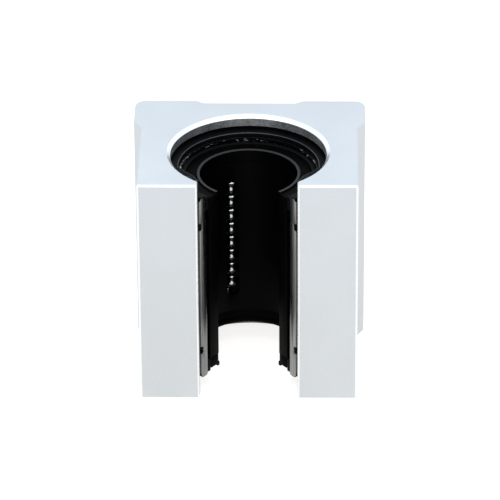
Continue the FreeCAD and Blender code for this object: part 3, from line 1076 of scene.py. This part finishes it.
@dataclass
class BallCircuits:
    """The balls that run round four oval tracks."""

    count: int = 4
    balls: int = 21
    radius: float = 1.5875
    gap: float = 0.015
    pitch: float = 72.0
    half_angle: float = 16.0
    shaft: float = 10.0
    lift: float = 0.67
    lift_angle: float = 45.0
    starts: Corner = (0.75, 0.25)
    facets: int = 10
    centre: float = BEARING_CENTRE

    def __post_init__(self) -> None:
        """Work out the loop's sizes."""
        self.loaded = self.shaft + self.radius
        self.mean = self.loaded + self.lift / 2
        self.turn = self.mean * math.radians(self.half_angle)
        self.step = 2 * self.radius + self.gap
        self.half_row = (self.step * self.balls - 2 * math.pi * self.turn) / 4

    def middle(self, number: int) -> float:
        """Azimuth of a circuit's middle, in degrees."""
        return 90.0 + self.pitch * (self.count - 1) / 2 - number * self.pitch

    def radius_in_turn(self, swing: float) -> float:
        """How far out a ball runs in a turn, swing being its angle from the loaded row."""
        share = min(1.0, swing / math.radians(self.lift_angle))
        return self.loaded + self.lift * share * share * (3 - 2 * share)

    def place(self, number: int, way: float) -> Point:
        """Where a ball lies.

        Args:
            number: The circuit's number.
            way: How far round the loop the ball is, from the foot of the loaded row, in millimetres.

        Returns:
            The ball's centre, in millimetres.
        """
        row = 2 * self.half_row
        turn = math.pi * self.turn
        if way < row:
            offset, radius, height = -self.half_angle, self.loaded, way - self.half_row
        elif way < row + turn:
            swing = (way - row) / self.turn
            offset = -self.half_angle * math.cos(swing)
            radius = self.radius_in_turn(swing)
            height = self.half_row + self.turn * math.sin(swing)
        elif way < 2 * row + turn:
            offset, radius = self.half_angle, self.loaded + self.lift
            height = self.half_row - (way - row - turn)
        else:
            swing = (way - 2 * row - turn) / self.turn
            offset = self.half_angle * math.cos(swing)
            radius = self.radius_in_turn(math.pi - swing)
            height = -self.half_row - self.turn * math.sin(swing)
        around = math.radians(self.middle(number) + offset)
        return radius * math.cos(around), radius * math.sin(around), height + self.centre

    def model_ball(self) -> bpy.types.Object:
        """Model one ball at the origin, as a cube divided and drawn out to a sphere.

        Returns:
            The ball, from which the others are copied.
        """
        deselect_all()
        bpy.ops.mesh.primitive_cube_add(size=2 * self.radius * MM)
        ball = bpy.context.object
        edit_all(
            ball,
            lambda: bpy.ops.mesh.subdivide(number_cuts=self.facets - 1),
            lambda: bpy.ops.transform.tosphere(value=1.0),
        )
        reach = max(vertex.co.length for vertex in ball.data.vertices)
        fit = self.radius * MM / reach
        ball.scale = (fit, fit, fit)
        settle(ball)
        activate(ball)
        bpy.ops.object.shade_smooth()
        paint(ball, PAINTED_BALL_STEEL)
        return ball

    def build(self) -> None:
        """Build every circuit's balls and hand them over."""
        pattern = self.model_ball()
        for number in range(self.count):
            first = self.starts[number % 2]
            copies = []
            for ball in range(self.balls):
                copy = pattern.copy()
                copy.data = pattern.data.copy()
                bpy.context.scene.collection.objects.link(copy)
                way = (ball + first) * self.step
                settle(copy, shift(self.place(number, way)))
                copies.append(copy)
            row = join(f"ball_row_{number + 1}", copies)
            hand_over(row, f"balls_circuit_{number + 1}")
        bpy.data.objects.remove(pattern)


@dataclass
class Cage:
    """The moulded cage with its oval tracks and ball windows."""

    circuits: BallCircuits
    inner: float = 10.3
    floor: float = 10.62
    outer: float = 13.1
    half_length: float = 17.5
    room: float = 1.6475
    window: float = 2.64
    window_rise: float = 0.3
    overrun: float = 2.3
    round_steps: int = 20
    soft_edge: float = 0.08

    def stadium(
        self, name: str, half_width: float, reach: float, low: float, high: float
    ) -> bpy.types.Object:
        """Build a stadium-shaped block that stands out along +X.

        Args:
            name: Name of the block.
            half_width: Half its width.
            reach: Half its length, without the round ends.
            low: Radius where it starts.
            high: Radius where it ends.

        Returns:
            The block.
        """
        rim = arc((0.0, reach), half_width, 0.0, 180.0, self.round_steps)
        rim += arc((0.0, -reach), half_width, 180.0, 360.0, self.round_steps)
        block = add_face(name, [(low, y, z) for y, z in rim])
        extrude(block, (high - low, 0.0, 0.0))
        return block

    def build(self) -> None:
        """Build the cage and hand it over."""
        end = self.half_length
        profile = [(self.inner, -end), (self.outer, -end), (self.outer, end), (self.inner, end)]
        shell = spin("cage_shell", profile)
        paint(shell, RESIN)
        tilt = math.sin(math.radians(self.circuits.half_angle))
        wide = (self.circuits.loaded + self.circuits.lift) * tilt + self.room
        island = self.circuits.loaded * tilt - self.room
        reach = self.circuits.half_row
        half_window = self.window / 2
        slit = reach + self.overrun - half_window
        inside = self.inner - OVERCUT
        outside = self.outer + OVERCUT
        window_top = self.floor + self.window_rise
        for number in range(self.circuits.count):
            middle = math.radians(self.circuits.middle(number))
            track = self.stadium("track", wide, reach, self.floor, outside)
            cut(track, self.stadium("island", island, reach, self.floor - OVERCUT, outside + OVERCUT))
            settle(track, Matrix.Rotation(middle, 4, "Z"))
            cut(shell, track)
            row = middle - math.radians(self.circuits.half_angle)
            window = self.stadium("window", half_window, slit, inside, window_top)
            settle(window, Matrix.Rotation(row, 4, "Z"))
            cut(shell, window)
        settle(shell, raise_by(self.circuits.centre))
        break_edges(shell, self.soft_edge, sharper_than=50.0)
        smooth(shell)
        hand_over(shell, "ball_cage")


class End(Enum):
    """The two ends of the bearing, with the sign of their Z direction."""

    UPPER = 1
    LOWER = -1

    def word(self) -> str:
        """The end's name in lower case."""
        return self.name.lower()


@dataclass
class BearingEnd:
    """Seal, side ring and retaining ring at one end of the bearing."""

    end: End
    centre: float = BEARING_CENTRE
    seal_low: float = 17.5
    top: float = 20.5
    lip: float = 10.0
    lip_wall: float = 0.7
    lip_height: float = 0.5
    lip_back: float = 0.4
    lip_land: float = 0.8
    lip_foot: float = 1.3
    lip_lean: float = 0.03
    lip_shoulder: float = 0.1
    lip_round: float = 0.12
    seal_round: float = 0.15
    seal_edge: float = 0.06
    lighter_depth: float = 0.15
    seal_outer: float = 12.9
    ring_inner: float = 12.95
    ring_outer: float = 13.85
    ring_edge: float = 0.15
    clip_low: float = 21.0
    clip_high: float = 22.2
    clip_outer: float = 16.77
    clip_inner: float = 14.4
    clip_edge: float = 0.12
    clip_steps: tuple[int, int, int] = (96, 72, 4)
    lug: float = 12.1
    lug_end: float = 57.0
    lug_width: float = 10.0
    lug_blend: float = 19.0
    hole_away: float = 14.0
    hole_back: float = 7.5
    hole_radius: float = 1.0
    hole_corners: int = 24

    def at_end(self, profile: Iterable[Corner]) -> list[Corner]:
        """Carry a profile that is measured from the bearing's middle to this end."""
        sign = self.end.value
        return [(radius, sign * height + self.centre) for radius, height in profile]

    def build_seal(self) -> None:
        """Build the seal with its raised lip and hand it over."""
        face = self.top - self.lip_height
        wall = self.lip + self.lip_wall
        profile = [
            (self.lip + self.lip_back, self.seal_low),
            (self.seal_outer, self.seal_low),
            (self.seal_outer, face - self.seal_round),
            (self.seal_outer - self.seal_round, face),
            (wall + self.seal_round, face),
            (wall, face + self.lip_round),
            (wall - self.lip_lean, self.top - self.lip_shoulder),
            (wall - self.lip_round, self.top),
            (self.lip + self.lip_round, self.top),
            (self.lip, self.top - self.lip_round),
            (self.lip, self.top - self.lip_land),
            (self.lip + self.lip_back, self.top - self.lip_foot),
        ]
        seal = spin(f"seal_ring_{self.end.word()}", self.at_end(profile))
        paint(seal, RUBBER, LIGHTER_RUBBER)
        break_edges(seal, self.seal_edge, sharper_than=35.0)
        # Faces at the seal's end that look along the shaft get the lighter grey rubber
        for facet in seal.data.polygons:
            depth = self.top - abs(facet.center.z / MM - self.centre)
            if depth < self.lighter_depth and abs(facet.normal.z) > FLAT:
                facet.material_index = RingSlot.EDGE
        smooth(seal, 40.0)
        hand_over(seal, f"end_seal_{self.end.word()}")

    def build_side_ring(self) -> None:
        """Build the steel ring round the seal and hand it over."""
        profile = [
            (self.ring_inner, self.seal_low),
            (self.ring_outer, self.seal_low),
            (self.ring_outer, self.top),
            (self.ring_inner, self.top),
        ]
        ring = spin(f"steel_ring_{self.end.word()}", self.at_end(profile))
        paint(ring, BLACK_STEEL)
        break_edges(ring, self.ring_edge, segments=3)
        smooth(ring, 35.0)
        hand_over(ring, f"side_ring_{self.end.word()}")

    def clip_outline(self) -> list[Corner]:
        """Draw the retaining ring as it is seen along the shaft.

        Returns:
            Its corners, anticlockwise along the outer rim.
        """
        last = 270.0 - self.lug_end
        first = self.lug_end - 90.0
        lug_side = last - self.lug_width
        blend = lug_side - self.lug_blend
        origin = (0.0, 0.0)
        outer_steps, inner_steps, lug_steps = self.clip_steps
        outline = arc(origin, self.clip_outer, first, last, outer_steps)
        outline += arc(origin, self.lug, last, lug_side, lug_steps)
        outline += arc(origin, self.clip_inner, blend, 180.0 - blend, inner_steps)
        outline += arc(origin, self.lug, 180.0 - lug_side, first, lug_steps)
        return outline

    def build_clip(self) -> None:
        """Build the retaining ring with its lugs and pliers holes and hand it over."""
        sign = self.end.value
        low = sign * self.clip_low + self.centre
        high = sign * self.clip_high + self.centre
        name = f"snap_ring_{self.end.word()}"
        clip = add_face(name, [(x, y, low) for x, y in self.clip_outline()])
        extrude(clip, (0.0, 0.0, high - low))
        paint(clip, BLACK_STEEL, STEEL_EDGE)
        out = sign * OVERCUT
        for azimuth in (
            self.lug_end - 90.0 + self.hole_back,
            270.0 - self.lug_end - self.hole_back,
        ):
            turn = math.radians(azimuth)
            middle = (self.hole_away * math.cos(turn), self.hole_away * math.sin(turn))
            rim = polygon(middle, self.hole_radius, self.hole_corners)
            drill = add_face("pliers_hole", [(x, y, low - out) for x, y in rim])
            extrude(drill, (0.0, 0.0, high - low + 2 * out))
            cut(clip, drill)
        break_edges(clip, self.clip_edge, segments=3, sharper_than=50.0, slot=RingSlot.EDGE)
        smooth(clip)
        hand_over(clip, f"retaining_ring_{self.end.word()}")

    def build(self) -> None:
        """Build all three pieces of this end."""
        self.build_seal()
        self.build_side_ring()
        self.build_clip()


@dataclass
class LockingScrew:
    """The socket screw in the side of the housing."""

    tip: float = 15.25
    length: float = 6.0
    radius: float = 2.45
    core: float = 2.05
    pitch: float = 0.8
    point: float = 1.2
    thread_height: float = 0.4
    thread_sunk: float = 0.05
    run_in: float = 0.2
    run_out: float = 0.6
    end_width: float = 0.3
    end_height: float = 0.35
    socket: float = 1.443
    socket_depth: float = 2.6

    def build(self) -> None:
        """Build the screw and hand it over."""
        profile = [
            (0.0, 0.0),
            (self.radius - self.point, 0.0),
            (self.core, self.point - self.thread_height),
            (self.core, self.length - self.end_height),
            (self.core - self.end_width, self.length),
            (0.0, self.length),
        ]
        shank = spin("screw_shank", profile, 0.0, FULL_TURN, ROUND_STEPS)
        paint(shank, BLACK_STEEL)
        rim = polygon((0.0, 0.0), self.socket, 6)
        key = add_face("hexagon", [(x, y, self.length - self.socket_depth) for x, y in rim])
        extrude(key, (0.0, 0.0, self.socket_depth + OVERCUT))
        cut(shank, key)
        turns = (self.length - self.point - self.run_out) / self.pitch
        root = self.core - self.thread_sunk
        ridge = add_thread("screw_ridge", root, self.radius, self.pitch, turns, inner=False)
        settle(ridge, raise_by(self.point + self.run_in))
        screw = join("set_screw", [shank, ridge])
        along = Matrix.Rotation(math.pi / 2, 4, "Y")
        settle(screw, Matrix.Translation((self.tip * MM, 0, 0)) @ along)
        smooth(screw)
        hand_over(screw, "locking_screw")


# Studio


@dataclass
class Lamp:
    """One soft rectangular lamp.

    Args:
        name: Name of the lamp.
        place: Where it stands, in metres.
        size: Its width and height, in metres.
        power: Its power, in watts.
        colour: Its colour.
    """

    name: str
    place: Point
    size: Corner
    power: float
    colour: Colour = WHITE

    def build(self) -> None:
        """Hang the lamp and point it at the block."""
        data = bpy.data.lights.new(self.name, "AREA")
        data.shape = "RECTANGLE"
        data.size, data.size_y = self.size
        data.energy = self.power
        data.color = self.colour
        lamp = bpy.data.objects.new(self.name, data)
        bpy.context.scene.collection.objects.link(lamp)
        lamp.location = self.place
        lamp.rotation_euler = (-Vector(self.place)).to_track_quat("-Z", "Y").to_euler()


@dataclass(frozen=True)
class FloorPaper:
    """The floor's pale paper, which is brighter to the camera and in reflections than its colour.

    Args:
        seen: Darkest and lightest colour of its fibres to the camera.
        lit: The same for the light that it sends back to the block.
        fibres: Fibres in a metre.
        detail: Finer layers of the fibres.
        rough: Its roughness.
        specular: Strength of its reflection.
        glow_colour: Colour of what it adds.
        glow: How much it adds to the camera.
        sheen: How much it adds in reflections.
    """

    seen: tuple[Colour, Colour] = ((0.88, 0.88, 0.88), (0.92, 0.92, 0.92))
    lit: tuple[Colour, Colour] = ((0.31, 0.305, 0.30), (0.33, 0.325, 0.32))
    fibres: float = 900.0
    detail: float = 4.0
    rough: float = 0.9
    specular: float = 0.1
    glow_colour: Colour = (1.0, 0.985, 0.965)
    glow: float = 0.85
    sheen: float = 0.85

    def build(self) -> bpy.types.Material:
        """Build the paper's material.

        Returns:
            The material.
        """
        material = bpy.data.materials.new("floor_paper")
        material.use_nodes = True
        graph = Graph(material.node_tree)
        shader = material.node_tree.nodes["Principled BSDF"]
        place = graph.add("ShaderNodeTexCoord")
        fibres = graph.noise(place.outputs["Object"], self.fibres, self.detail)
        ray = graph.add("ShaderNodeLightPath")
        direct = ray.outputs["Is Camera Ray"]
        colour = graph.mix(direct, graph.mix(fibres, *self.lit), graph.mix(fibres, *self.seen))
        graph.link(colour, shader.inputs["Base Color"])
        shader.inputs["Roughness"].default_value = self.rough
        shader.inputs["Specular IOR Level"].default_value = self.specular
        shader.inputs["Emission Color"].default_value = (*self.glow_colour, 1.0)
        glow = graph.math("MULTIPLY", direct, self.glow)
        sheen = graph.math("MULTIPLY", ray.outputs["Is Glossy Ray"], self.sheen)
        graph.link(graph.math("ADD", glow, sheen), shader.inputs["Emission Strength"])
        return material


@dataclass
class Studio:
    """Floor, world, lamps and camera."""

    floor_height: float
    floor_size: float = 3.0
    paper: FloorPaper = FloorPaper()
    target: Point = (0.0, 0.004, 0.0)
    distance: float = 0.89451
    elevation: float = 28.93
    yaw: float = -1.07
    roll: float = -0.37
    lens: float = 309.78
    sensor: float = 36.0
    shift: Corner = (0.00118, -0.00218)
    farthest: float = 10.0
    world_levels: Corner = (0.6, 1.12)
    sky_colour: Colour = (0.93, 1.0, 1.07)
    lamps: tuple[Lamp, ...] = (
        Lamp("key", (0.0, -0.5, 0.9), (1.2, 1.0), 1.6),
        Lamp("overhead", (0.0, 0.02, 1.0), (1.2, 0.5), 2.2, (0.92, 0.97, 1.0)),
        Lamp("front", (0.0, -1.0, 0.03), (0.06, 0.15), 0.1),
    )

    def build_floor(self) -> None:
        """Lay the pale floor."""
        deselect_all()
        bpy.ops.mesh.primitive_plane_add(size=self.floor_size)
        floor = bpy.context.object
        floor.name = "floor"
        floor.location.z = self.floor_height
        settle(floor)
        floor.data.materials.append(self.paper.build())

    def build_world(self) -> None:
        """Surround the block with even light, plain white where the camera sees it."""
        world = bpy.data.worlds.new("studio")
        bpy.context.scene.world = world
        world.use_nodes = True
        graph = Graph(world.node_tree)
        sky = world.node_tree.nodes["Background"]
        seen = graph.add("ShaderNodeLightPath")
        direct = seen.outputs["Is Camera Ray"]
        colour = graph.mix(direct, self.sky_colour, WHITE)
        graph.link(colour, sky.inputs["Color"])
        indirect = graph.remap(seen.outputs["Is Glossy Ray"], UNIT, self.world_levels)
        graph.link(graph.math("MAXIMUM", indirect, direct), sky.inputs["Strength"])

    def build_camera(self) -> None:
        """Set up the camera."""
        data = bpy.data.cameras.new("camera")
        data.sensor_width = self.sensor
        data.lens = self.lens
        data.shift_x, data.shift_y = self.shift
        data.clip_end = self.farthest
        camera = bpy.data.objects.new("camera", data)
        bpy.context.scene.collection.objects.link(camera)
        up, aside = math.radians(self.elevation), math.radians(self.yaw)
        away = Vector(
            (-math.cos(up) * math.sin(aside), -math.cos(up) * math.cos(aside), math.sin(up))
        )
        camera.location = Vector(self.target) + away * self.distance
        facing = (-away).to_track_quat("-Z", "Y").to_matrix().to_4x4()
        turned = facing @ Matrix.Rotation(math.radians(self.roll), 4, "Z")
        camera.rotation_euler = turned.to_euler()
        bpy.context.scene.camera = camera

    def build(self) -> None:
        """Build the whole studio."""
        self.build_floor()
        self.build_world()
        for lamp in self.lamps:
            lamp.build()
        self.build_camera()
        bpy.context.scene.view_settings.view_transform = "Standard"


def main() -> None:
    """Build the block and its studio."""
    logging.basicConfig(level=logging.INFO, format="%(name)s: %(message)s")
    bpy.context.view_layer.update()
    circuits = BallCircuits()
    Housing().build()
    Shell().build()
    Cage(circuits).build()
    circuits.build()
    for end in End:
        BearingEnd(end).build()
    LockingScrew().build()
    Studio(floor_height=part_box("housing")[0][2]).build()


if __name__ == "__main__":
    main()
